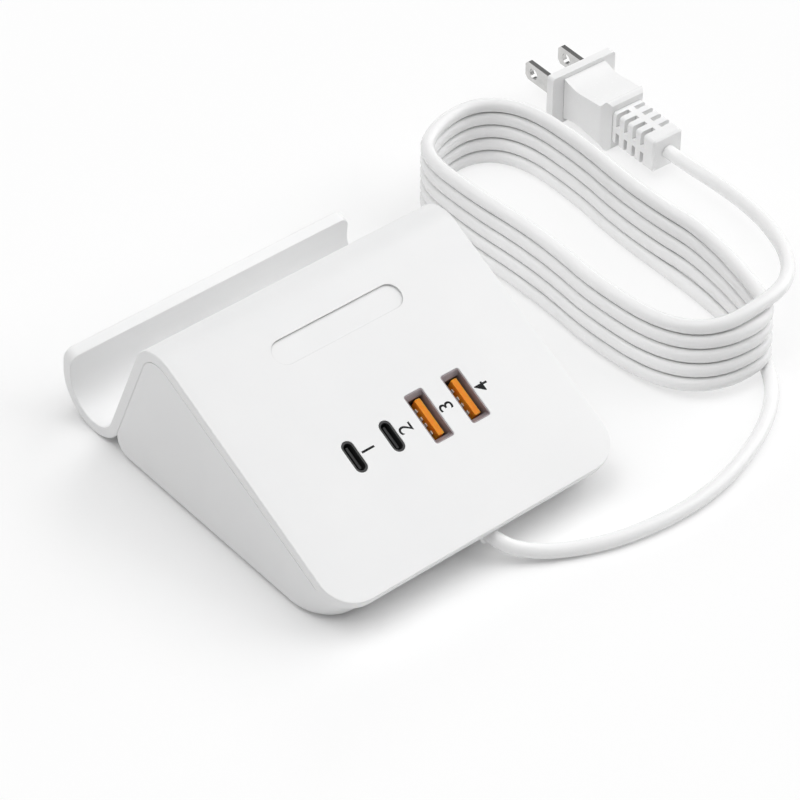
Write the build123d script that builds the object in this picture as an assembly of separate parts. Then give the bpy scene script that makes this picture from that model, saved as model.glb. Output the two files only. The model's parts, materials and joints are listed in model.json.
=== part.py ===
from build123d import *
import math
import os

# Desk charger with a phone cradle: a bent cover over a wedge-shaped tub, two boards inside, a mains cord and plug.
# Millimetres. X runs along the width, -Y is the side with the sockets, the table is at Z 0.

# Overall size of the housing
WIDTH = 96.0
DEPTH = 119.6
HEIGHT = 48.0

# Bent cover: port panel, ridge, phone rest, trough and lip
SHEET = 3.4
FRONT_EDGE_Z = 11.5
REST_ANGLE = 66.5
RIDGE_R = 10.5
TROUGH_Z = 3.6
TROUGH_GAP = 15.6
LIP_TOP_Z = 19.9
LIP_LEAN = 6.0
LIP_SLANT = 1.0
PANEL_CORNER_R = 10.0
LIP_CORNER_R = 3.0
EDGE_R = 0.35
RECESS_LENGTH = 42.6
RECESS_HEIGHT = 7.6
RECESS_DEPTH = 0.6
RECESS_U = 67.9

# Tub under the cover
FOOT_HEIGHT = 1.5
FOOT_RADIUS = 4.5
FOOT_SEAT = 0.8
WALL = 2.2
UNDERCUT = 8.2
FRONT_INSET = 1.0
HEEL_R = 4.5

# Screws that hold the cover on the tub
POST_R = 4.2
BOSS_R = 3.2
FRONT_POST_SETBACK = 24.0
FRONT_BOSS = 5.0
REAR_BOSS = 18.0
SCREW_R = 1.3
SCREW_HEAD_R = 2.7
SCREW_HEAD = 2.0
SCREW_SINK = 4.2
SCREW_BITE = 4.0

# Sockets, measured in the panel's plane: U runs up the slope from the front edge
PORT_U = 34.5
PORT_PITCH = 12.45
PORT_SINK = 0.15
A_MOUTH = (6.1, 15.3)
A_SHELL = (5.7, 13.1)
A_INNER = (5.1, 12.5)
A_RIM = 0.25
A_FLARE = 1.3
A_TONGUE = (1.8, 11.4)
A_TONGUE_DROP = 1.0
A_TONGUE_BACK = 1.1
C_SHELL = (3.5, 9.5)
C_INNER = (2.56, 8.34)
C_TONGUE = (0.7, 6.7)
C_TONGUE_DROP = 0.9
SOCKET_BASE = 3.0
CONTACT = (0.25, 1.0)
CONTACT_DROP = 1.9

# Boards
BOARD = 1.6
PORT_BOARD_DROP = 14.3
PORT_BOARD_HALF = 34.0
PORT_BOARD_REACH = (7.6, 12.0)
PORT_SCREW_X = 29.0
STANDOFF = 3.0
STANDOFF_R = 2.8
BOARD_LAP = 0.8
ROW_GAP = 0.5
BOARD_SCREW_INSET = 3.4

# Mains cord
CORD_D = 4.2
CORD_X = 4.0
CORD_Z = 5.9
GLAND_R = 2.9
GLAND_BLOCK = (10.0, 4.0, 6.0)
GLAND_SETBACK = 3.6
LEAD_D = 1.7
LEAD_SPACING = 3.2
LEAD_ENTRY = 1.2
COIL_TURNS = 5
COIL_PITCH = 4.0
COIL_TOP = (103.4, 14.1)
COIL_LEAN = (4.5, 3.9)
COIL_END_R = 19.0
COIL_STRAIGHT = 85.4

# Plug
PLUG_AT = (148.2, 31.4)
PLUG_TURN = 2.0
FLANGE = (24.0, 2.8, 17.4)
FLANGE_R = 1.0
BODY_LENGTH = 16.7
BODY_WIDTH = 15.6
BODY_FRONT = 14.4
BODY_WAIST = 11.4
BODY_REAR = 13.8
WAIST_AT = 5.6
WAIST_R = 12.0
COLLAR_LENGTH = 1.8
COLLAR_WIDTH = 11.8
COLLAR_BEVEL = 1.0
COLLAR_RAMP = 1.3
RELIEF_LENGTH = 14.0
END_BLOCK = (11.0, 4.5, 11.2)
END_R = 1.0
RELIEF_SLOTS = 4
RELIEF_SLOT = 1.5
RELIEF_PITCH = 3.65
RELIEF_BRIDGE = 2.2
RELIEF_CORE_R = 2.9
BLADE = (1.5, 16.0, 6.35)
BLADE_SPACING = 12.7
BLADE_ROOT = 8.0
BLADE_TIP = 1.2
BLADE_HOLE_R = 1.75
BLADE_HOLE_AT = 12.2

# Clearances
FIT = 0.1
GAP = 0.3

os.makedirs("parts", exist_ok=True)


def save(name, shape):
    export_step(shape, "parts/" + name + ".step")


# Plane geometry in the side view, where X stands for Y and Y for Z
def heading(angle):
    return Vector(math.cos(math.radians(angle)), math.sin(math.radians(angle)))


def right_of(angle):
    return heading(angle - 90)


def angle_of(start, end):
    return math.degrees(math.atan2(end.Y - start.Y, end.X - start.X))


def meet(p, p_angle, q, q_angle):
    a, b, gap = heading(p_angle), heading(q_angle), q - p
    along = (gap.X * b.Y - gap.Y * b.X) / (a.X * b.Y - a.Y * b.X)
    return p + a * along


def level(p, angle, z):
    return meet(p, angle, Vector(0, z), 0)


def shifted(corners, distance):
    """The line of corners, moved to its right by a distance."""
    angles = [angle_of(a, b) for a, b in zip(corners, corners[1:])]
    moved = [corners[0] + right_of(angles[0]) * distance]
    for corner, before, after in zip(corners[1:-1], angles, angles[1:]):
        on_before = corner + right_of(before) * distance
        on_after = corner + right_of(after) * distance
        moved.append(meet(on_before, before, on_after, after))
    moved.append(corners[-1] + right_of(angles[-1]) * distance)
    return moved


def shifted_radii(corners, radii, distance):
    out = []
    for a, b, c, radius in zip(corners, corners[1:], corners[2:], radii):
        left_turn = (angle_of(b, c) - angle_of(a, b)) % 360 < 180
        out.append(radius + distance if left_turn else radius - distance)
    return out


def rounded(corners, radii):
    """A flat face with its corners rounded."""
    face = Face(Wire.make_polygon(corners, close=True))
    for corner, radius in zip(corners, radii):
        if radius > 0:
            nearest = min(face.vertices(), key=lambda v: (Vector(v) - corner).length)
            face = face.fillet_2d(radius, [nearest])
    return face


def outline(corners, radii):
    """A face in the side view with its corners rounded."""
    return rounded(corners, radii).moved(Plane.YZ.location)


def band(corners, radii, thickness):
    """A strip of even thickness to the right of a line of corners."""
    other = shifted(corners, thickness)
    other_radii = shifted_radii(corners, radii, thickness)
    rounds = [0, *radii, 0, 0, *reversed(other_radii), 0]
    return outline(corners + other[::-1], rounds)


def across(face, width):
    return extrude(face, amount=width / 2, dir=(1, 0, 0), both=True)


def block(x, y, z, size):
    """A box centred on x and y that stands on z."""
    return Pos(x, y, z + size[2] / 2) * Box(*size)


def can(x, y, z, radius, height):
    """An upright cylinder that stands on z."""
    return Pos(x, y, z + height / 2) * Cylinder(radius, height)


def edges_at(shape, points):
    return [e for e in shape.edges() for p in points if (e @ 0.5 - Vector(*p)).length < 0.01]


def mirrored(x):
    return ((-x, "left"), (x, "right"))


# Side view of the cover's upper surface
front = Vector(-DEPTH / 2, FRONT_EDGE_Z)
cradle_wall = DEPTH / 2 - SHEET
trough = Vector(cradle_wall - TROUGH_GAP, TROUGH_Z)
rest_sin = math.sin(math.radians(REST_ANGLE))
rest_cos = math.cos(math.radians(REST_ANGLE))
rest_run = (HEIGHT - RIDGE_R - TROUGH_Z + RIDGE_R * rest_cos) / rest_sin
ridge_axis = Vector(trough.X - rest_run * rest_cos - RIDGE_R * rest_sin, HEIGHT - RIDGE_R)
to_axis = ridge_axis - front
SLOPE = angle_of(front, ridge_axis) + math.degrees(math.asin(RIDGE_R / to_axis.length))
ridge = meet(front, SLOPE, trough, -REST_ANGLE)
bend_r = TROUGH_GAP * rest_sin / (1 + rest_sin - rest_cos)
bend_axis = Vector(cradle_wall - bend_r, TROUGH_Z + bend_r)
lip_foot = bend_axis + heading(LIP_LEAN) * bend_r
hook = meet(trough, -REST_ANGLE, lip_foot, 90 + LIP_LEAN)
lip = level(lip_foot, 90 + LIP_LEAN, LIP_TOP_Z)
upper = [front, ridge, hook, lip]
upper_radii = [RIDGE_R, bend_r]
lower = shifted(upper, SHEET)
lower[-1] += heading(90 + LIP_LEAN) * LIP_SLANT
lower_radii = shifted_radii(upper, upper_radii, SHEET)
panel = Plane(
    origin=(0, front.X, front.Y),
    x_dir=(1, 0, 0),
    z_dir=(0, -math.sin(math.radians(SLOPE)), math.cos(math.radians(SLOPE))),
)


def under_panel(y):
    return lower[0].Y + (y - lower[0].X) * math.tan(math.radians(SLOPE))


def on_panel(u, drop):
    """Side-view point at u up the slope and drop below the panel's surface."""
    return front + heading(SLOPE) * u + right_of(SLOPE) * drop


# Side view of the tub
floor_z = FOOT_HEIGHT + WALL
brow = lower[0] + heading(SLOPE) * FRONT_INSET
toe = Vector(front.X + UNDERCUT, FOOT_HEIGHT)
heel = level(lower[1], -REST_ANGLE, FOOT_HEIGHT)
undercut_angle = angle_of(brow, toe)
inner_toe_line = toe + right_of(undercut_angle) * -WALL
inner_rest_line = heel + right_of(-REST_ANGLE) * WALL
inner_toe = level(inner_toe_line, undercut_angle, floor_z)
inner_heel = level(inner_rest_line, -REST_ANGLE, floor_z)
rim_z = ridge_axis.Y

# Where the screws of the housing stand: side, end, x, y, top of the post, top of the boss
post_x = WIDTH / 2 - WALL - POST_R - GAP
front_post_y = front.X + FRONT_POST_SETBACK
boss_slant = BOSS_R * math.tan(math.radians(SLOPE))
front_boss_top = under_panel(front_post_y) + boss_slant
rear_boss_top = HEIGHT - SHEET
stations = []
for side_x, side in mirrored(post_x):
    front_top = under_panel(front_post_y) - FRONT_BOSS
    stations.append((side, "front", side_x, front_post_y, front_top, front_boss_top))
    stations.append((side, "rear", side_x, ridge_axis.X, rear_boss_top - REAR_BOSS, rear_boss_top))
screw_seat = FOOT_HEIGHT + SCREW_SINK

# Boards: the power board lies on standoffs, the port board hangs parallel to the panel
board_z = floor_z + STANDOFF
board_top = board_z + BOARD
board_half = post_x - POST_R - GAP * 2
board_rear = level(inner_rest_line, -REST_ANGLE, board_top).X - GAP * 3
port_board_rear = on_panel(PORT_U + PORT_BOARD_REACH[1], PORT_BOARD_DROP + BOARD).X
board_front = port_board_rear - BOARD_LAP
board_depth = board_rear - board_front
board_screws = [
    (end, side, x, y)
    for x, side in mirrored(board_half - BOARD_SCREW_INSET)
    for y, end in ((board_front + BOARD_SCREW_INSET, "front"), (board_rear - BOARD_SCREW_INSET, "rear"))
]
port_xs = [(i - 1.5) * PORT_PITCH for i in range(4)]
usb_c_xs, usb_a_xs = port_xs[:2], port_xs[2:]


def prism(x, size, corner, top, bottom):
    """A rounded bar square to the panel on the socket row; top and bottom are drops below the panel."""
    face = RectangleRounded(*size, corner)
    return panel * Pos(x, PORT_U, -bottom) * extrude(face, amount=bottom - top)


def funnel(x, mouth, throat, top, bottom):
    """A tapered plug square to the panel on the socket row, from the mouth down to the throat."""
    ends = [(throat, bottom), (mouth, top)]
    return loft([panel * Pos(x, PORT_U, -drop) * RectangleRounded(*size, 0.3) for size, drop in ends])


def grown(size, by):
    return (size[0] + by, size[1] + by)


def slot_corner(size):
    return size[0] / 2 - 0.01


# Cover
def make_cover():
    side_view = outline(upper + lower[::-1], [0, *upper_radii, 0, 0, *reversed(lower_radii), 0])
    cover = across(side_view, WIDTH)
    half = WIDTH / 2
    front_mid = (front + lower[0]) / 2
    lip_mid = (lip + lower[-1]) / 2
    cover = fillet(edges_at(cover, [(x, front_mid.X, front_mid.Y) for x in (-half, half)]), PANEL_CORNER_R)
    cover = fillet(edges_at(cover, [(x, lip_mid.X, lip_mid.Y) for x in (-half, half)]), LIP_CORNER_R)
    cover = fillet(edges_at(cover, [(0, front.X, front.Y)]), EDGE_R)
    cover = chamfer(edges_at(cover, [(0, lower[0].X, lower[0].Y)]), EDGE_R)
    for x in usb_c_xs:
        opening = grown(C_SHELL, 2 * FIT)
        cover -= prism(x, opening, slot_corner(opening), -1, SHEET + 1)
    for x in usb_a_xs:
        cover -= prism(x, grown(A_MOUTH, 2 * FIT), 0.8, -1, SHEET + 1)
    recess = SlotOverall(RECESS_LENGTH, RECESS_HEIGHT)
    cover -= panel * Pos(0, RECESS_U, -RECESS_DEPTH) * extrude(recess, amount=1)
    for _, _, x, y, post_top, boss_top in stations:
        cover += can(x, y, post_top, BOSS_R, boss_top - post_top)
        cover -= can(x, y, post_top, SCREW_R + FIT / 2, SCREW_BITE + FIT)
    for x in (-PORT_SCREW_X, PORT_SCREW_X):
        drop = PORT_BOARD_DROP
        cover += panel * Pos(x, PORT_U, -drop) * extrude(Circle(BOSS_R), amount=drop - SHEET / 2)
        cover -= panel * Pos(x, PORT_U, -drop) * extrude(Circle(SCREW_R + FIT / 2), amount=SCREW_BITE + FIT)
    return cover


# Tub
def make_tub():
    half = WIDTH / 2
    tub = across(outline([brow, lower[1], heel, toe], [0, RIDGE_R - SHEET, HEEL_R, 0]), WIDTH)
    corner_mid = (brow + toe) / 2
    tub = fillet(edges_at(tub, [(x, corner_mid.X, corner_mid.Y) for x in (-half, half)]), PANEL_CORNER_R)

    inner_brow = level(inner_toe_line, undercut_angle, HEIGHT)
    inner_rim = level(inner_rest_line, -REST_ANGLE, rim_z)
    open_top = [Vector(DEPTH, rim_z), Vector(DEPTH, HEIGHT)]
    hollow = across(
        outline([inner_brow, inner_toe, inner_heel, inner_rim, *open_top], [0, 0, HEEL_R - WALL, 0, 0, 0]),
        WIDTH - 2 * WALL,
    )
    hollow_mid = (inner_brow + inner_toe) / 2
    inner_half = half - WALL
    hollow_edges = edges_at(hollow, [(x, hollow_mid.X, hollow_mid.Y) for x in (-inner_half, inner_half)])
    tub -= fillet(hollow_edges, PANEL_CORNER_R - WALL)

    for _, _, x, y, post_top, _ in stations:
        tub += can(x, y, FOOT_HEIGHT, POST_R, post_top - FOOT_HEIGHT)
        tub -= can(x, y, FOOT_HEIGHT, SCREW_HEAD_R + GAP, SCREW_SINK)
        tub -= can(x, y, screw_seat, SCREW_R + GAP, post_top - screw_seat)
    for _, _, x, y in board_screws:
        tub += can(x, y, floor_z, STANDOFF_R, STANDOFF)
        tub -= can(x, y, board_z - SCREW_BITE - FIT, SCREW_R + FIT / 2, SCREW_BITE + FIT)
    for _, _, x, y in feet:
        tub -= can(x, y, FOOT_HEIGHT, FOOT_RADIUS + FIT, FOOT_SEAT)
    tub -= Pos(CORD_X, inner_toe.X, CORD_Z) * Rot(90, 0, 0) * Cylinder(GLAND_R + FIT, 4 * UNDERCUT)
    fence = (WALL / 2, GLAND_BLOCK[1], GLAND_BLOCK[2])
    for way in (-1, 1):
        fence_x = CORD_X + way * (GLAND_BLOCK[0] / 2 + FIT + fence[0] / 2)
        tub += block(fence_x, gland_y, floor_z, fence)
    return tub


feet_x = post_x - POST_R - FOOT_RADIUS - GAP
feet = [
    (end, side, x, y)
    for x, side in mirrored(feet_x)
    for y, end in ((toe.X + 2 * FOOT_RADIUS, "front"), (heel.X - 2 * HEEL_R - FOOT_RADIUS, "rear"))
]
gland_y = inner_toe.X + GAP + GLAND_BLOCK[1] / 2

cover = make_cover()
tub = make_tub()
save("top_cover", cover)
save("base_housing", tub)
for end, side, x, y in feet:
    save("foot_" + end + "_" + side, can(x, y, 0, FOOT_RADIUS, FOOT_HEIGHT + FOOT_SEAT))


# Screws
def screw(length):
    """A pan-head screw with its head below Z 0 and its shank above."""
    return can(0, 0, 0, SCREW_R, length) + can(0, 0, -SCREW_HEAD, SCREW_HEAD_R, SCREW_HEAD)


for side, end, x, y, post_top, _ in stations:
    save("housing_screw_" + end + "_" + side, Pos(x, y, screw_seat) * screw(post_top - screw_seat + SCREW_BITE))
for end, side, x, y in board_screws:
    save("board_screw_" + end + "_" + side, Pos(x, y, board_top) * Rot(180, 0, 0) * screw(BOARD + SCREW_BITE))
for x, side in mirrored(PORT_SCREW_X):
    place = panel * Pos(x, PORT_U, -PORT_BOARD_DROP - BOARD)
    save("port_screw_" + side, place * screw(BOARD + SCREW_BITE))

# Port board and its sockets
port_board_mid = PORT_U + (PORT_BOARD_REACH[1] - PORT_BOARD_REACH[0]) / 2
port_board_size = (2 * PORT_BOARD_HALF, sum(PORT_BOARD_REACH), BOARD)
port_board = panel * Pos(0, port_board_mid, -PORT_BOARD_DROP - BOARD / 2) * Box(*port_board_size)
for x in (-PORT_SCREW_X, PORT_SCREW_X):
    port_board -= panel * Pos(x, PORT_U, -PORT_BOARD_DROP - BOARD / 2) * Cylinder(SCREW_R + GAP, 2 * BOARD)
save("port_board", port_board)

socket_floor = PORT_BOARD_DROP - SOCKET_BASE
for number, x in enumerate(usb_c_xs, 1):
    shell = prism(x, C_SHELL, slot_corner(C_SHELL), PORT_SINK, PORT_BOARD_DROP)
    shell -= prism(x, C_INNER, slot_corner(C_INNER), 0, PORT_BOARD_DROP)
    base = prism(x, C_INNER, slot_corner(C_INNER), socket_floor, PORT_BOARD_DROP)
    tongue = prism(x, C_TONGUE, 0.2, PORT_SINK + C_TONGUE_DROP, socket_floor)
    save("usb_c_shell_" + str(number), shell)
    save("usb_c_tongue_" + str(number), base + tongue)

tongue_x = A_INNER[0] / 2 - A_TONGUE[0] / 2 - A_TONGUE_BACK
contact_top = PORT_SINK + A_TONGUE_DROP + CONTACT_DROP
for number, x in enumerate(usb_a_xs, 1):
    shell = prism(x, A_MOUTH, 0.7, PORT_SINK, PORT_SINK + A_FLARE)
    shell += prism(x, A_SHELL, 0.5, PORT_SINK, PORT_BOARD_DROP)
    shell -= prism(x, A_INNER, 0.3, 0, PORT_BOARD_DROP)
    shell -= funnel(x, grown(A_MOUTH, -2 * A_RIM), A_INNER, PORT_SINK, PORT_SINK + A_FLARE)
    base = prism(x, A_INNER, 0.3, socket_floor, PORT_BOARD_DROP)
    tongue = prism(x + tongue_x, A_TONGUE, 0.3, PORT_SINK + A_TONGUE_DROP, socket_floor)
    face_x = x + tongue_x - A_TONGUE[0] / 2 - CONTACT[0] / 2
    contacts = []
    for way in (-3.5, -1.0, 1.0, 3.5):
        strip = Box(CONTACT[0], CONTACT[1], socket_floor - contact_top)
        contacts.append(panel * Pos(face_x, PORT_U + way, -(socket_floor + contact_top) / 2) * strip)
    save("usb_a_shell_" + str(number), shell)
    save("usb_a_tongue_" + str(number), base + tongue)
    save("usb_a_contacts_" + str(number), Compound(contacts))

# Power board and what stands on it, measured from its sides and from a first row behind the port board
first_row = BOARD_LAP + GAP
power_board = block(0, (board_front + board_rear) / 2, board_z, (2 * board_half, board_depth, BOARD))
for _, _, x, y in board_screws:
    power_board -= can(x, y, board_z, SCREW_R + GAP, BOARD)
save("power_board", power_board)


def behind(distance):
    return board_front + distance


def from_left(distance):
    return distance - board_half


def from_right(distance):
    return board_half - distance


def before_rest(height):
    """The rearmost y that clears the sloping rest wall for a piece of this height on the board."""
    return level(inner_rest_line, -REST_ANGLE, board_top + height).X - ROW_GAP


def capacitor(x, y, radius, height):
    """A can with a rolled top edge."""
    body = can(x, y, board_top, radius, height)
    return chamfer(body.edges().sort_by(Axis.Z)[-1], radius * 0.12)


TERMINAL = (8.0, 7.0, 8.0)
terminal_y = behind(first_row + TERMINAL[1] / 2)
terminal = block(CORD_X, terminal_y, board_top, TERMINAL)
for way in (-1, 1):
    terminal -= can(CORD_X + way * LEAD_SPACING / 2, terminal_y, board_top + TERMINAL[2] - 1, 1.2, 1)
save("input_terminal", terminal)

FUSE_CAP_R = 2.5
fuse_x, fuse_y = CORD_X - 10, behind(first_row + FUSE_CAP_R)
fuse = Pos(fuse_x, fuse_y, board_top + FUSE_CAP_R) * Rot(0, 90, 0) * Cylinder(2.2, 9)
for way in (-1, 1):
    fuse += Pos(fuse_x + way * 3.5, fuse_y, board_top + FUSE_CAP_R) * Rot(0, 90, 0) * Cylinder(FUSE_CAP_R, 2)
save("fuse", fuse)

save("safety_capacitor", block(from_left(15.5), behind(first_row + 4), board_top, (18, 8, 14)))

choke = Cylinder(9, 9) - Cylinder(4, 9)
save("line_choke", Pos(from_left(12.5), behind(21.5), board_top + 4.5) * choke)

BRIDGE = (14.0, 4.0, 10.0)
save("bridge_rectifier", block(from_left(14), before_rest(BRIDGE[2]) - BRIDGE[1] / 2, board_top, BRIDGE))

BULK_R = 6.0
bulk_row = first_row + 2 * FUSE_CAP_R + ROW_GAP + BULK_R
for number in (1, 2):
    bulk_y = behind(bulk_row + (number - 1) * (2 * BULK_R + ROW_GAP))
    save("bulk_capacitor_" + str(number), capacitor(CORD_X - 11, bulk_y, BULK_R, 18))

# Transformer: a closed pair of E cores round a wound bobbin
CORE_WIDTH = 26.0
CORE_DEPTH = 9.0
CORE_HEADROOM = 7.5
CORE_LIMB = 7.0
CORE_SIDE = 3.6
BOBBIN_FOOT = 2.0
core_x, core_y = CORD_X + 10.0, behind(19)
core_z = board_top + BOBBIN_FOOT
core_height = under_panel(core_y - CORE_DEPTH / 2) - CORE_HEADROOM - core_z
window = ((CORE_WIDTH - CORE_LIMB) / 2 - CORE_SIDE, CORE_DEPTH, core_height - 2 * CORE_SIDE)
core = block(core_x, core_y, core_z, (CORE_WIDTH, CORE_DEPTH, core_height))
for way in (-1, 1):
    core -= block(core_x + way * (CORE_LIMB + window[0]) / 2, core_y, core_z + CORE_SIDE, window)
save("transformer_core", core)
winding_size = (CORE_LIMB + 2 * window[0] - 2 * GAP, CORE_DEPTH + 2 * window[0], window[2] - 2 * GAP)
winding = block(core_x, core_y, core_z + CORE_SIDE + GAP, winding_size)
winding = fillet(winding.edges().filter_by(Axis.Z), 2)
winding -= block(core_x, core_y, core_z, (CORE_LIMB + FIT, CORE_DEPTH + FIT, core_height))
for way in (-1, 1):
    leg_y = core_y + way * (CORE_DEPTH + FIT + window[0]) / 2
    leg_height = BOBBIN_FOOT + CORE_SIDE + GAP
    winding += block(core_x, leg_y, board_top, (winding_size[0], window[0] - FIT, leg_height))
save("transformer_winding", winding)

HEAT_SINK = (22.0, 1.5, 13.0)
TRANSISTOR = (10.0, 4.5, 12.0)
sink_y = before_rest(HEAT_SINK[2]) - HEAT_SINK[1] / 2
transistor_y = sink_y - HEAT_SINK[1] / 2 - TRANSISTOR[1] / 2
save("heat_sink", block(core_x - 7, sink_y, board_top, HEAT_SINK))
save("switching_transistor", block(core_x - 7, transistor_y, board_top, TRANSISTOR))

for number, (right, distance) in enumerate(((11, first_row + 4), (5.3, 13.5), (5.3, 22.5)), 1):
    save("output_capacitor_" + str(number), capacitor(from_right(right), behind(distance), 4, 12))
drum_x, drum_y = from_right(8.6), behind(32)
drum = can(drum_x, drum_y, board_top, 4.2, 8) - can(drum_x, drum_y, board_top + 2, 4.2, 4)
save("output_inductor", drum + can(drum_x, drum_y, board_top + 2, 3.1, 4))

# Ribbon from a header on the power board to the upper side of the port board
HEADER = (11.0, 4.0, 6.0)
RIBBON = 0.8
header_y = behind(first_row + HEADER[1] / 2)
header_x = core_x + 1.0
save("link_header", block(header_x, header_y, board_top, HEADER))
landing_u = PORT_U + PORT_BOARD_REACH[1] - 3
landing = on_panel(landing_u, PORT_BOARD_DROP)
above_landing = on_panel(landing_u, PORT_BOARD_DROP - 6)
header_top = Vector(header_y - RIBBON / 2, board_top + HEADER[2])
crest = Vector(header_top.X, above_landing.Y + 2)
ribbon = across(band([landing, above_landing, crest, header_top], [2, 2], RIBBON), HEADER[0] - 1)
save("link_ribbon", Pos(header_x, 0, 0) * ribbon)


# Cords: straight runs joined by arcs as large as the runs allow
def cord_radii(points):
    radii = []
    for a, b, c in zip(points, points[1:], points[2:]):
        turn = math.radians((b - a).get_angle(c - b))
        shorter = min((b - a).length, (c - b).length)
        radii.append(0.45 * shorter / math.tan(turn / 2))
    return radii


def tube(name, route, diameter):
    points = [Vector(*p) for p in route]
    radii = cord_radii(points)
    path = FilletPolyline(*points, radius=radii)
    section = Plane(origin=path @ 0, z_dir=path % 0) * Circle(diameter / 2)
    swept = sweep(section, path=path)
    expected = math.pi * diameter ** 2 / 4 * path.length
    print(name, "length", round(path.length, 1), "radii", [round(r, 1) for r in radii],
          "volume ratio", round(swept.volume / expected, 4))
    return swept


# Gland moulded on the cord: a bush through the front wall and a block on the tub's floor
gland_face = front.X + GLAND_SETBACK
bush_length = gland_y - gland_face
bush = Pos(CORD_X, gland_face + bush_length / 2, CORD_Z) * Rot(90, 0, 0) * Cylinder(GLAND_R, bush_length)
save("cord_gland", bush + block(CORD_X, gland_y, floor_z, GLAND_BLOCK))

lead_start = gland_y + GLAND_BLOCK[1] / 2
lead_end = terminal_y - TERMINAL[1] / 2
lead_low = floor_z + LEAD_D / 2 + GAP
lead_high = board_top + LEAD_ENTRY
lead_reach = lead_end - lead_start
for way, name in ((-1, "live_lead"), (1, "neutral_lead")):
    x = CORD_X + way * LEAD_SPACING / 2
    lead_route = [
        (x, lead_start, lead_low),
        (x, lead_start + lead_reach * 0.54, lead_low),
        (x, lead_start + lead_reach * 0.83, lead_high),
        (x, lead_end, lead_high),
    ]
    save(name, tube(name, lead_route, LEAD_D))

# Coil: one leaning racetrack ring as high as its turns
coil_height = CORD_D + (COIL_TURNS - 1) * COIL_PITCH
coil_foot = (COIL_TOP[0] - COIL_LEAN[0], COIL_TOP[1] - COIL_LEAN[1])


def racetrack(radius):
    shape = Rot(0, 0, 90) * SlotCenterToCenter(COIL_STRAIGHT, 2 * radius)
    return loft([Pos(*coil_foot, 0) * shape, Pos(*COIL_TOP, coil_height) * shape])


coil = racetrack(COIL_END_R + CORD_D / 2) - racetrack(COIL_END_R - CORD_D / 2)
save("cord_coil", coil)

low = CORD_D / 2
lead_points = [
    (CORD_X, gland_face, CORD_Z),
    (CORD_X, gland_face - 3.5, CORD_Z),
    (7.2, -63.8, 4.0),
    (16.0, -69.8, low),
    (36.0, -78.6, low),
    (70.0, -79.0, low),
    (99.5, -64.8, low),
    (112.0, -40.0, low),
]
lead_tube = tube("cord_lead", lead_points, CORD_D) - coil
save("cord_lead", lead_tube.solids().sort_by(SortBy.VOLUME)[-1])

# Plug: made along Y from the cord's end, lying on its flange and on the collar at the body's rear
collar_start = END_BLOCK[1] + RELIEF_LENGTH
body_start = collar_start + COLLAR_LENGTH + COLLAR_RAMP
flange_start = body_start + BODY_LENGTH
plug_length = flange_start + FLANGE[1]
plug_place = Pos(*PLUG_AT, FLANGE[2] / 2) * Rot(0, 0, -PLUG_TURN)


def silhouette(half, rounds, depth):
    """The body between collar and flange as seen in plan or from the side, made as deep as depth."""
    corners = [Vector(x, y) for x, y in half] + [Vector(-x, y) for x, y in reversed(half)]
    return extrude(rounded(corners, rounds + rounds[::-1]), amount=depth / 2, both=True)


def make_relief():
    """Square ribs on a round core, each joined to the next by a cross of bridges."""
    relief = Pos(0, collar_start / 2, 0) * Box(END_BLOCK[0], collar_start, END_BLOCK[2])
    relief = fillet(relief.edges().filter_by(Axis.Y), END_R)
    relief = chamfer(relief.faces().sort_by(Axis.Y)[0].edges(), END_R / 2)
    core = Rot(90, 0, 0) * Cylinder(RELIEF_CORE_R, RELIEF_SLOT)
    core += Box(RELIEF_BRIDGE, RELIEF_SLOT, END_BLOCK[2])
    core += Box(END_BLOCK[0], RELIEF_SLOT, RELIEF_BRIDGE)
    ring = Box(2 * END_BLOCK[0], RELIEF_SLOT, 2 * END_BLOCK[2]) - core
    for i in range(RELIEF_SLOTS):
        relief -= Pos(0, END_BLOCK[1] + RELIEF_SLOT / 2 + i * RELIEF_PITCH, 0) * ring
    return relief


def make_plug_body():
    plan_line = [
        (COLLAR_WIDTH / 2, collar_start),
        (BODY_WIDTH / 2, body_start),
        (BODY_WIDTH / 2, flange_start),
    ]
    side_line = [
        (FLANGE[2] / 2 - COLLAR_BEVEL, collar_start),
        (FLANGE[2] / 2, collar_start + COLLAR_BEVEL),
        (FLANGE[2] / 2, collar_start + COLLAR_LENGTH),
        (BODY_REAR / 2, body_start),
        (BODY_WAIST / 2, flange_start - WAIST_AT),
        (BODY_FRONT / 2, flange_start),
    ]
    plan = silhouette(plan_line, [0, COLLAR_RAMP, 0], 2 * FLANGE[2])
    side_rounds = [0, COLLAR_BEVEL / 2, COLLAR_BEVEL / 2, COLLAR_RAMP, WAIST_R, 0]
    side = Rot(0, 90, 0) * silhouette(side_line, side_rounds, 2 * FLANGE[0])
    flange = Pos(0, flange_start + FLANGE[1] / 2, 0) * Box(*FLANGE)
    flange = fillet(flange.edges().filter_by(Axis.Y), FLANGE_R)
    return (plan & side) + flange + make_relief()


def make_blade(x):
    blade = Pos(x, plug_length + (BLADE[1] - BLADE_ROOT) / 2, 0) * Box(BLADE[0], BLADE[1] + BLADE_ROOT, BLADE[2])
    tip = blade.edges().filter_by(Axis.X).group_by(Axis.Y)[-1]
    blade = chamfer(tip, BLADE_TIP)
    return blade - Pos(x, plug_length + BLADE_HOLE_AT, 0) * Rot(0, 90, 0) * Cylinder(BLADE_HOLE_R, 2 * BLADE[0])


plug_body = make_plug_body()
for x, side in mirrored(BLADE_SPACING / 2):
    blade = make_blade(x)
    plug_body -= blade
    save("plug_blade_" + side, plug_place * blade)
save("plug_body", plug_place * plug_body)

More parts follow.
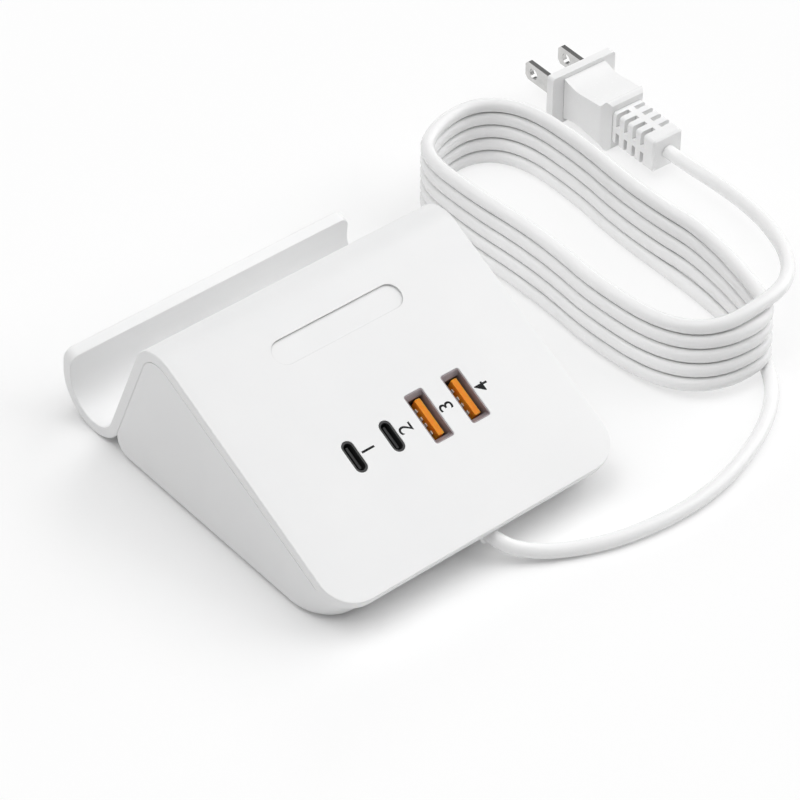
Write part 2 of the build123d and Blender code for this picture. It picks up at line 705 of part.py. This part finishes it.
plug_axis = Vector((plug_place * Pos(0, 1, 0)).position) - Vector(plug_place.position)
cord_end = Vector(plug_place.position)
before_plug = cord_end - plug_axis * 8.5
tail_points = [
    (107.0, -46.5, coil_height - low),
    (119.5, -44.6, coil_height - low),
    (131.0, -35.6, 17.0),
    (143.6, -15.5, 13.2),
    (148.6, 6.0, 9.6),
    tuple(before_plug),
    tuple(cord_end),
]
tail_tube = tube("cord_tail", tail_points, CORD_D) - coil
save("cord_tail", tail_tube.solids().sort_by(SortBy.VOLUME)[-1])
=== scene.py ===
import bpy
import json
import math
from mathutils import Matrix, Vector


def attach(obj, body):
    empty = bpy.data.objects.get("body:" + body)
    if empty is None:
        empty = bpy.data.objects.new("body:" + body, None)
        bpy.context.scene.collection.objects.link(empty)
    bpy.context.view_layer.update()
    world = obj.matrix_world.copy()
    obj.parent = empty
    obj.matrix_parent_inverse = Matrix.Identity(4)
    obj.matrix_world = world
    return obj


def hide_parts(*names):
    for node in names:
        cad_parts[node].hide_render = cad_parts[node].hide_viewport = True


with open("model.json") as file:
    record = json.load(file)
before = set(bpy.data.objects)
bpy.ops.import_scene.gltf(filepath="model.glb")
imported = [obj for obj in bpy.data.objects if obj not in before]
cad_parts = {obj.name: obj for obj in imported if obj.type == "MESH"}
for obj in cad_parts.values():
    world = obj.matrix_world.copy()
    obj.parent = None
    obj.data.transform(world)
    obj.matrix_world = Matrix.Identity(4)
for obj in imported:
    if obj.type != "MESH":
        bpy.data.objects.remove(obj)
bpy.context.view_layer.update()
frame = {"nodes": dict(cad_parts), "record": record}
scene = bpy.context.scene
nodes = frame["nodes"]
MM = 0.001

# Camera at the photograph's viewing angle
EYE = Vector((-436.0, -551.1, 636.3)) * MM
TARGET = Vector((0.3, -24.4, 32.7)) * MM
camera = bpy.data.objects.new("camera", bpy.data.cameras.new("camera"))
camera.data.sensor_width = 36.0
camera.data.lens = 158.6
camera.data.clip_start = 0.01
camera.location = EYE
camera.rotation_mode = "QUATERNION"
camera.rotation_quaternion = (TARGET - EYE).to_track_quat("-Z", "Y")
scene.collection.objects.link(camera)
scene.camera = camera


# Helpers for materials
def new_material(name):
    """A material with nodes, its tree and shader, and the place on the object in metres."""
    material = bpy.data.materials.new(name)
    material.use_nodes = True
    tree = material.node_tree
    shader = tree.nodes["Principled BSDF"]
    place = tree.nodes.new("ShaderNodeTexCoord")
    return material, tree, shader, place.outputs["Object"]


def noise(tree, place, scale, detail=3.0, rough=0.55, stretch=None):
    """Noise in the object's metres; stretch squeezes it along the axes."""
    if stretch:
        mapping = tree.nodes.new("ShaderNodeMapping")
        mapping.inputs["Scale"].default_value = stretch
        tree.links.new(place, mapping.inputs["Vector"])
        place = mapping.outputs["Vector"]
    node = tree.nodes.new("ShaderNodeTexNoise")
    node.inputs["Scale"].default_value = scale
    node.inputs["Detail"].default_value = detail
    node.inputs["Roughness"].default_value = rough
    tree.links.new(place, node.inputs["Vector"])
    return node.outputs["Fac"]


def ramp(tree, factor, low, high, start=0.3, end=0.7):
    """A smooth blend of two colours over the middle of a noise."""
    node = tree.nodes.new("ShaderNodeValToRGB")
    node.color_ramp.elements[0].position = start
    node.color_ramp.elements[1].position = end
    node.color_ramp.elements[0].color = (*low, 1.0)
    node.color_ramp.elements[1].color = (*high, 1.0)
    tree.links.new(factor, node.inputs["Fac"])
    return node.outputs["Color"]


def spread(tree, factor, low, high):
    """A number between low and high over the middle of a noise."""
    node = tree.nodes.new("ShaderNodeMapRange")
    node.inputs["From Min"].default_value = 0.3
    node.inputs["From Max"].default_value = 0.7
    node.inputs["To Min"].default_value = low
    node.inputs["To Max"].default_value = high
    tree.links.new(factor, node.inputs["Value"])
    return node.outputs["Result"]


def bump(tree, shader, factor, depth):
    """Fine relief of the given depth in metres."""
    node = tree.nodes.new("ShaderNodeBump")
    node.inputs["Strength"].default_value = 1.0
    node.inputs["Distance"].default_value = depth
    tree.links.new(factor, node.inputs["Height"])
    tree.links.new(node.outputs["Normal"], shader.inputs["Normal"])


def maths(tree, operation, *values):
    """The result of a Math node, with sockets linked and numbers set."""
    node = tree.nodes.new("ShaderNodeMath")
    node.operation = operation
    for socket, value in zip(node.inputs, values):
        if isinstance(value, bpy.types.NodeSocket):
            tree.links.new(value, socket)
        else:
            socket.default_value = value
    return node.outputs[0]


def seen_directly(tree):
    """1 for what the camera sees, straight or in a mirror or through glass, and 0 for light on its way."""
    path = tree.nodes.new("ShaderNodeLightPath")
    mirrored = maths(tree, "MAXIMUM", path.outputs["Is Glossy Ray"], path.outputs["Is Transmission Ray"])
    return maths(tree, "MAXIMUM", path.outputs["Is Camera Ray"], mirrored)


def crevices(tree, colour, reach, dark):
    """The colour with painted shade: down to a share of it in gaps and inner corners of one piece that are narrower
    than reach.
    """
    # Painted shade: ambient occlusion darkens the colour in narrow gaps and inner corners, where shade falls
    gap_occlusion = tree.nodes.new("ShaderNodeAmbientOcclusion")
    gap_occlusion.samples = 2
    gap_occlusion.only_local = True
    gap_occlusion.inputs["Distance"].default_value = reach
    shade = tree.nodes.new("ShaderNodeMapRange")
    shade.inputs["From Min"].default_value = 0.15
    shade.inputs["From Max"].default_value = 0.75
    shade.inputs["To Min"].default_value = dark
    tree.links.new(gap_occlusion.outputs["AO"], shade.inputs["Value"])
    mix = tree.nodes.new("ShaderNodeMix")
    mix.data_type = "RGBA"
    mix.blend_type = "MULTIPLY"
    mix.inputs[0].default_value = 1.0
    tree.links.new(colour, mix.inputs[6])
    tree.links.new(shade.outputs["Result"], mix.inputs[7])
    return mix.outputs[2]


def finish_material(name, low, high, gloss, metal=0.0, cloud=60.0, grain=2500.0, depth=0.000004,
                    stretch=None, specular=0.5, glow=0.0, painted_shade=None):
    """A surface with a soft drift of colour, a drift of roughness and a fine grain.

    Light goes glow deep into it. The last argument gives the reach and the share of the shade painted into its gaps
    and inner corners.
    """
    material, tree, shader, place = new_material(name)
    drift = noise(tree, place, cloud)
    fine = noise(tree, place, grain, stretch=stretch)
    colour = ramp(tree, drift, low, high)
    # Painted shade in gaps and inner corners, where it is asked for
    if painted_shade:
        colour = crevices(tree, colour, *painted_shade)
    tree.links.new(colour, shader.inputs["Base Color"])
    tree.links.new(spread(tree, fine, *gloss), shader.inputs["Roughness"])
    shader.inputs["Metallic"].default_value = metal
    shader.inputs["Specular IOR Level"].default_value = specular
    if glow:
        shader.inputs["Subsurface Weight"].default_value = 1.0
        shader.inputs["Subsurface Radius"].default_value = (1.0, 0.6, 0.3)
        shader.inputs["Subsurface Scale"].default_value = glow
    bump(tree, shader, fine, depth)
    return material


# Materials
# The housing, the cord and the socket steel get painted shade in their gaps and inner corners
housing = finish_material("moulded_white", (0.855, 0.857, 0.86), (0.885, 0.885, 0.885), (0.3, 0.36), cloud=25.0,
                          grain=3200.0, depth=0.000002, painted_shade=(0.0006, 0.4))
jacket = finish_material("cord_white", (0.92, 0.92, 0.92), (0.94, 0.94, 0.94), (0.2, 0.28), cloud=40.0,
                         grain=1800.0, depth=0.000004, painted_shade=(0.0003, 0.45))
steel = finish_material("socket_steel", (0.34, 0.295, 0.31), (0.42, 0.375, 0.39), (0.32, 0.46), metal=0.35,
                        cloud=400.0, grain=1500.0, stretch=(1.0, 1.0, 9.0), painted_shade=(0.006, 0.12))
dark_steel = finish_material("dark_socket_steel", (0.035, 0.035, 0.036), (0.055, 0.055, 0.056), (0.3, 0.42),
                             metal=0.4, cloud=400.0, grain=1500.0)
orange = finish_material("tongue_orange", (0.9, 0.28, 0.014), (0.94, 0.33, 0.022), (0.36, 0.46), cloud=300.0,
                         specular=0.25, glow=0.0012)
black = finish_material("black_moulding", (0.010, 0.010, 0.011), (0.02, 0.02, 0.021), (0.4, 0.55), cloud=300.0)
contact = finish_material("contact_plating", (0.94, 0.93, 0.9), (0.97, 0.96, 0.94), (0.22, 0.32), metal=0.1,
                          cloud=800.0)
board = finish_material("board_resist", (0.012, 0.10, 0.045), (0.03, 0.16, 0.07), (0.35, 0.5), cloud=500.0)
ferrite = finish_material("ferrite", (0.02, 0.02, 0.021), (0.045, 0.045, 0.047), (0.55, 0.75), cloud=900.0,
                          depth=0.00001)
tape = finish_material("winding_tape", (0.7, 0.46, 0.03), (0.8, 0.56, 0.06), (0.35, 0.5), cloud=200.0)
aluminium = finish_material("bare_aluminium", (0.6, 0.61, 0.63), (0.72, 0.73, 0.75), (0.3, 0.45), metal=1.0,
                            cloud=300.0, stretch=(6.0, 1.0, 1.0))
ceramic = finish_material("fuse_ceramic", (0.7, 0.67, 0.6), (0.8, 0.78, 0.72), (0.25, 0.35), cloud=300.0)
film = finish_material("film_capacitor", (0.62, 0.42, 0.02), (0.7, 0.5, 0.04), (0.35, 0.45), cloud=300.0)
sleeve = finish_material("capacitor_sleeve", (0.008, 0.012, 0.035), (0.016, 0.022, 0.06), (0.25, 0.35), cloud=200.0)
terminal = finish_material("terminal_green", (0.01, 0.15, 0.06), (0.02, 0.2, 0.09), (0.35, 0.45), cloud=300.0)
brown = finish_material("live_brown", (0.1, 0.03, 0.01), (0.14, 0.045, 0.015), (0.35, 0.45), cloud=300.0)
blue = finish_material("neutral_blue", (0.01, 0.06, 0.3), (0.02, 0.08, 0.38), (0.35, 0.45), cloud=300.0)
ribbon = finish_material("ribbon_film", (0.6, 0.6, 0.58), (0.7, 0.7, 0.68), (0.3, 0.42), cloud=300.0)
rubber = finish_material("foot_rubber", (0.06, 0.06, 0.06), (0.09, 0.09, 0.09), (0.7, 0.85), cloud=400.0,
                         grain=1200.0, depth=0.00003)
zinc = finish_material("screw_zinc", (0.5, 0.5, 0.5), (0.62, 0.62, 0.61), (0.25, 0.4), metal=1.0, cloud=700.0)
nickel = finish_material("blade_nickel", (0.56, 0.56, 0.555), (0.66, 0.655, 0.645), (0.16, 0.26), metal=1.0,
                         cloud=300.0, grain=1400.0, stretch=(1.0, 0.15, 1.0))
ink = finish_material("print_ink", (0.012, 0.012, 0.013), (0.022, 0.022, 0.023), (0.6, 0.7), cloud=600.0,
                      specular=0.2)

LOOKS = {
    "white_housing": housing, "cord_jacket": jacket, "socket_steel": steel, "orange_tongue": orange,
    "black_plastic": black, "contact_metal": contact, "circuit_board": board, "ferrite": ferrite,
    "winding_tape": tape, "heat_sink": aluminium, "fuse_body": ceramic, "film_capacitor": film,
    "capacitor_sleeve": sleeve, "terminal_green": terminal, "live_wire": brown, "neutral_wire": blue,
    "ribbon": ribbon, "rubber_foot": rubber, "screw_steel": zinc, "blade_metal": nickel,
}


# Each CAD node gets its slot's material, with smooth curves and sharp edges
WELD_REACH = 0.000002
SHARP_EDGE = math.radians(28)


def dress(obj, material):
    obj.data.materials.clear()
    obj.data.materials.append(material)


for row in frame["record"]["subparts"]:
    obj = nodes[row["node"]]
    dress(obj, LOOKS[row["material_slot"]])
    weld = obj.modifiers.new("weld", "WELD")
    weld.merge_threshold = WELD_REACH
    obj.data.shade_smooth()
    edges = obj.modifiers.new("sharp", "EDGE_SPLIT")
    edges.split_angle = SHARP_EDGE

for i in (1, 2):
    dress(nodes[f"usb_c_shell_{i}"], dark_steel)

# Mains cord: lead, coil and tail on one smooth line. Two loops of the coil are listed, anticlockwise from the
# middle of the front bend: the one on top and the one on the table. The loops between them lie evenly.
CORD_D = 4.2
LOW = CORD_D / 2
COIL_TURNS = 5
COIL_PITCH = 4.0

LEAD = [(4.0, -56.2, 5.9), (4.0, -59.7, 5.9), (7.2, -63.8, 4.0), (16.0, -69.8, LOW), (33.5, -77.4, LOW),
        (59.5, -79.6, LOW), (84.5, -72.6, LOW), (102.0, -61.8, LOW), (111.6, -47.6, LOW), (114.6, -32.0, LOW),
        (116.2, -14.0, LOW)]
TOP_LOOP = [(110.5, -49.2), (115.7, -40.7), (122.1, -11.9), (120.6, 5.4), (120.8, 22.4), (122.7, 39.4),
            (122.1, 64.0), (111.8, 75.8), (95.6, 74.5), (83.6, 66.2), (83.4, 41.7), (85.1, 25.1),
            (85.1, 8.6), (83.5, -8.2), (84.7, -33.4), (93.7, -46.4)]
FOOT_LOOP = [(107.7, -52.2), (113.3, -44.5), (117.7, -15.0), (116.3, 2.5), (116.7, 19.6), (119.0, 37.0),
             (119.0, 61.9), (109.6, 73.2), (92.6, 72.0), (80.9, 62.7), (79.7, 37.9), (80.7, 21.1),
             (80.7, 4.7), (79.3, -12.0), (80.8, -36.8), (90.4, -50.3)]
TAIL = [(109.5, -47.6, 22.3), (120.6, -45.2, 21.9), (131.0, -35.6, 19.3), (139.5, -20.8, 15.5),
        (145.5, -6.2, 11.5), (148.5, 8.5, 8.9), (148.3, 22.9, 8.4), (148.2, 31.4, 8.7)]
# Points of a loop on its far and near sides, and the share of the pitch that the front bend has climbed
FAR_SIDE = range(2, 10)
NEAR_SIDE = range(10, 14)
FRONT_RISE = {14: 0.2, 15: 0.6, 0: 0.9, 1: 1.05}


def loop_point(turn, i, rise=0.0):
    """Point i of a turn, raised by a share of the pitch where the cord climbs to the turn above."""
    part = turn / (COIL_TURNS - 1)
    x = FOOT_LOOP[i][0] + part * (TOP_LOOP[i][0] - FOOT_LOOP[i][0])
    y = FOOT_LOOP[i][1] + part * (TOP_LOOP[i][1] - FOOT_LOOP[i][1])
    return x, y, LOW + COIL_PITCH * (turn + rise)


def coil_points():
    """The turns from the table up: each climbs at the front bend, and the last one leaves there as the tail."""
    points = [loop_point(0, i) for i in FAR_SIDE if i > 2]
    for turn in range(COIL_TURNS):
        points += [loop_point(turn, i) for i in NEAR_SIDE]
        if turn < COIL_TURNS - 1:
            points += [loop_point(turn, i, rise) for i, rise in FRONT_RISE.items()]
            points += [loop_point(turn + 1, i) for i in FAR_SIDE]
    return points + [loop_point(turn, i, FRONT_RISE[i]) for i in (14, 15)]


def smooth_cord(name, points, diameter):
    """A round cord along one smooth spline."""
    curve = bpy.data.curves.new(name, "CURVE")
    curve.dimensions = "3D"
    spline = curve.splines.new("NURBS")
    spline.points.add(len(points) - 1)
    for point, at in zip(spline.points, points):
        point.co = (*(c * MM for c in at), 1.0)
    spline.order_u = 3
    spline.use_endpoint_u = True
    spline.use_smooth = True
    curve.resolution_u = 6
    curve.bevel_depth = diameter * MM / 2
    curve.bevel_resolution = 6
    curve.use_fill_caps = True
    obj = bpy.data.objects.new(name, curve)
    scene.collection.objects.link(obj)
    return obj


route = LEAD + coil_points() + TAIL
cord = smooth_cord("mains_cord", route, CORD_D)
dress(cord, jacket)
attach(cord, "root")
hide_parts("cord_lead", "cord_coil", "cord_tail")

# Numbers printed on the panel to the right of the sockets, two USB-C and two USB-A
NUMERAL_HEIGHT = 4.2
NUMERAL_STROKE = 0.05
NUMERAL_REACH = (4.7, 4.7, 5.9, 5.9)
FONT_SHARE = 1.4
INK = 0.00001
PANEL_FRONT = Vector((0.0, -59.8, 11.5))
PANEL_SLOPE = math.radians(26.915)
PORT_U = 34.5
PORT_PITCH = 12.45
up_slope = Vector((0.0, math.cos(PANEL_SLOPE), math.sin(PANEL_SLOPE)))
panel_normal = Vector((0.0, -math.sin(PANEL_SLOPE), math.cos(PANEL_SLOPE)))


def printed_number(number, x, u):
    """A thin numeral on the panel that reads up the slope."""
    text = bpy.data.curves.new("numeral", "FONT")
    text.body = str(number)
    text.align_x = "CENTER"
    text.align_y = "CENTER"
    text.size = NUMERAL_HEIGHT * MM * FONT_SHARE
    text.offset = NUMERAL_STROKE * MM / 2
    text.extrude = INK
    holder = bpy.data.objects.new("numeral", text)
    scene.collection.objects.link(holder)
    bpy.context.view_layer.update()
    mesh = bpy.data.meshes.new_from_object(holder.evaluated_get(bpy.context.evaluated_depsgraph_get()))
    bpy.data.objects.remove(holder)
    obj = bpy.data.objects.new(f"port_number_{number}", mesh)
    scene.collection.objects.link(obj)
    at = (PANEL_FRONT + up_slope * u + Vector((x, 0, 0))) * MM + panel_normal * INK
    basis = Matrix((up_slope, Vector((-1, 0, 0)), panel_normal)).transposed().to_4x4()
    obj.matrix_world = Matrix.Translation(at) @ basis
    dress(obj, ink)
    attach(obj, "root")


for i, reach in enumerate(NUMERAL_REACH):
    printed_number(i + 1, (i - 1.5) * PORT_PITCH + reach, PORT_U)

# Paper floor
SIDE = 6.0
DROP = 0.0001
floor_mesh = bpy.data.meshes.new("floor")
floor_mesh.from_pydata([(-SIDE, -SIDE, 0), (SIDE, -SIDE, 0), (SIDE, SIDE, 0), (-SIDE, SIDE, 0)], [], [(0, 1, 2, 3)])
floor = bpy.data.objects.new("floor", floor_mesh)
scene.collection.objects.link(floor)
floor.location.z = -DROP
paper, tree, shader, place = new_material("paper_floor")
paper_colour = ramp(tree, noise(tree, place, 3.0), (0.93, 0.93, 0.93), (0.95, 0.95, 0.95))
tree.links.new(paper_colour, shader.inputs["Base Color"])
shader.inputs["Roughness"].default_value = 0.9
shader.inputs["Specular IOR Level"].default_value = 0.1


# The paper is whiter to the eye away from the housing, and keeps its full shadow close to it
FOOTPRINT = (0.048, 0.06)
NEAR_WHITE, FAR_WHITE, FADE = 0.05, 0.7, 0.05
split = tree.nodes.new("ShaderNodeSeparateXYZ")
tree.links.new(place, split.inputs["Vector"])
gaps = []
for axis, half in zip("XY", FOOTPRINT):
    gaps.append(maths(tree, "SUBTRACT", maths(tree, "ABSOLUTE", split.outputs[axis]), half))
whiteness = tree.nodes.new("ShaderNodeMapRange")
whiteness.interpolation_type = "SMOOTHSTEP"
whiteness.inputs["From Max"].default_value = FADE
whiteness.inputs["To Min"].default_value = NEAR_WHITE
whiteness.inputs["To Max"].default_value = FAR_WHITE
tree.links.new(maths(tree, "MAXIMUM", *gaps), whiteness.inputs["Value"])
white = tree.nodes.new("ShaderNodeEmission")
blend = tree.nodes.new("ShaderNodeMixShader")
tree.links.new(maths(tree, "MULTIPLY", seen_directly(tree), whiteness.outputs["Result"]), blend.inputs["Fac"])
tree.links.new(shader.outputs["BSDF"], blend.inputs[1])
tree.links.new(white.outputs["Emission"], blend.inputs[2])
tree.links.new(blend.outputs["Shader"], tree.nodes["Material Output"].inputs["Surface"])
dress(floor, paper)

# A white studio to the eye, darker overhead, and a plainer light on the object
WORLD = 0.12
OVERHEAD = 0.2
DARKENS = (0.15, 0.6)
world = bpy.data.worlds.new("studio")
scene.world = world
world.use_nodes = True
tree = world.node_tree
background = tree.nodes["Background"]
sky = tree.nodes.new("ShaderNodeSeparateXYZ")
tree.links.new(tree.nodes.new("ShaderNodeTexCoord").outputs["Generated"], sky.inputs["Vector"])
shown = tree.nodes.new("ShaderNodeMapRange")
shown.interpolation_type = "SMOOTHSTEP"
shown.inputs["From Min"].default_value = DARKENS[0]
shown.inputs["From Max"].default_value = DARKENS[1]
shown.inputs["To Min"].default_value = 1.0
shown.inputs["To Max"].default_value = OVERHEAD
tree.links.new(sky.outputs["Z"], shown.inputs["Value"])
strength = tree.nodes.new("ShaderNodeMix")
strength.inputs["A"].default_value = WORLD
tree.links.new(seen_directly(tree), strength.inputs["Factor"])
tree.links.new(shown.outputs["Result"], strength.inputs["B"])
tree.links.new(strength.outputs["Result"], background.inputs["Strength"])
background.inputs["Color"].default_value = (1.0, 1.0, 1.0, 1.0)


# Three far, soft lamps
LAMP_ANGLE = 60


def sun(name, towards, strength, mirrored=True):
    """A far soft lamp, which shows in reflections or only lights."""
    lamp = bpy.data.objects.new(name, bpy.data.lights.new(name, "SUN"))
    lamp.visible_glossy = mirrored
    lamp.data.energy = strength
    lamp.data.angle = math.radians(LAMP_ANGLE)
    lamp.rotation_mode = "QUATERNION"
    lamp.rotation_quaternion = Vector(towards).to_track_quat("Z", "Y")
    scene.collection.objects.link(lamp)


sun("overhead", (0.0, 0.0, 1.0), 1.2, mirrored=False)
sun("left", (-0.5, 0.2, 0.84), 0.89)
sun("right", (0.8, -0.2, 0.56), 1.5)

scene.view_settings.view_transform = "Standard"
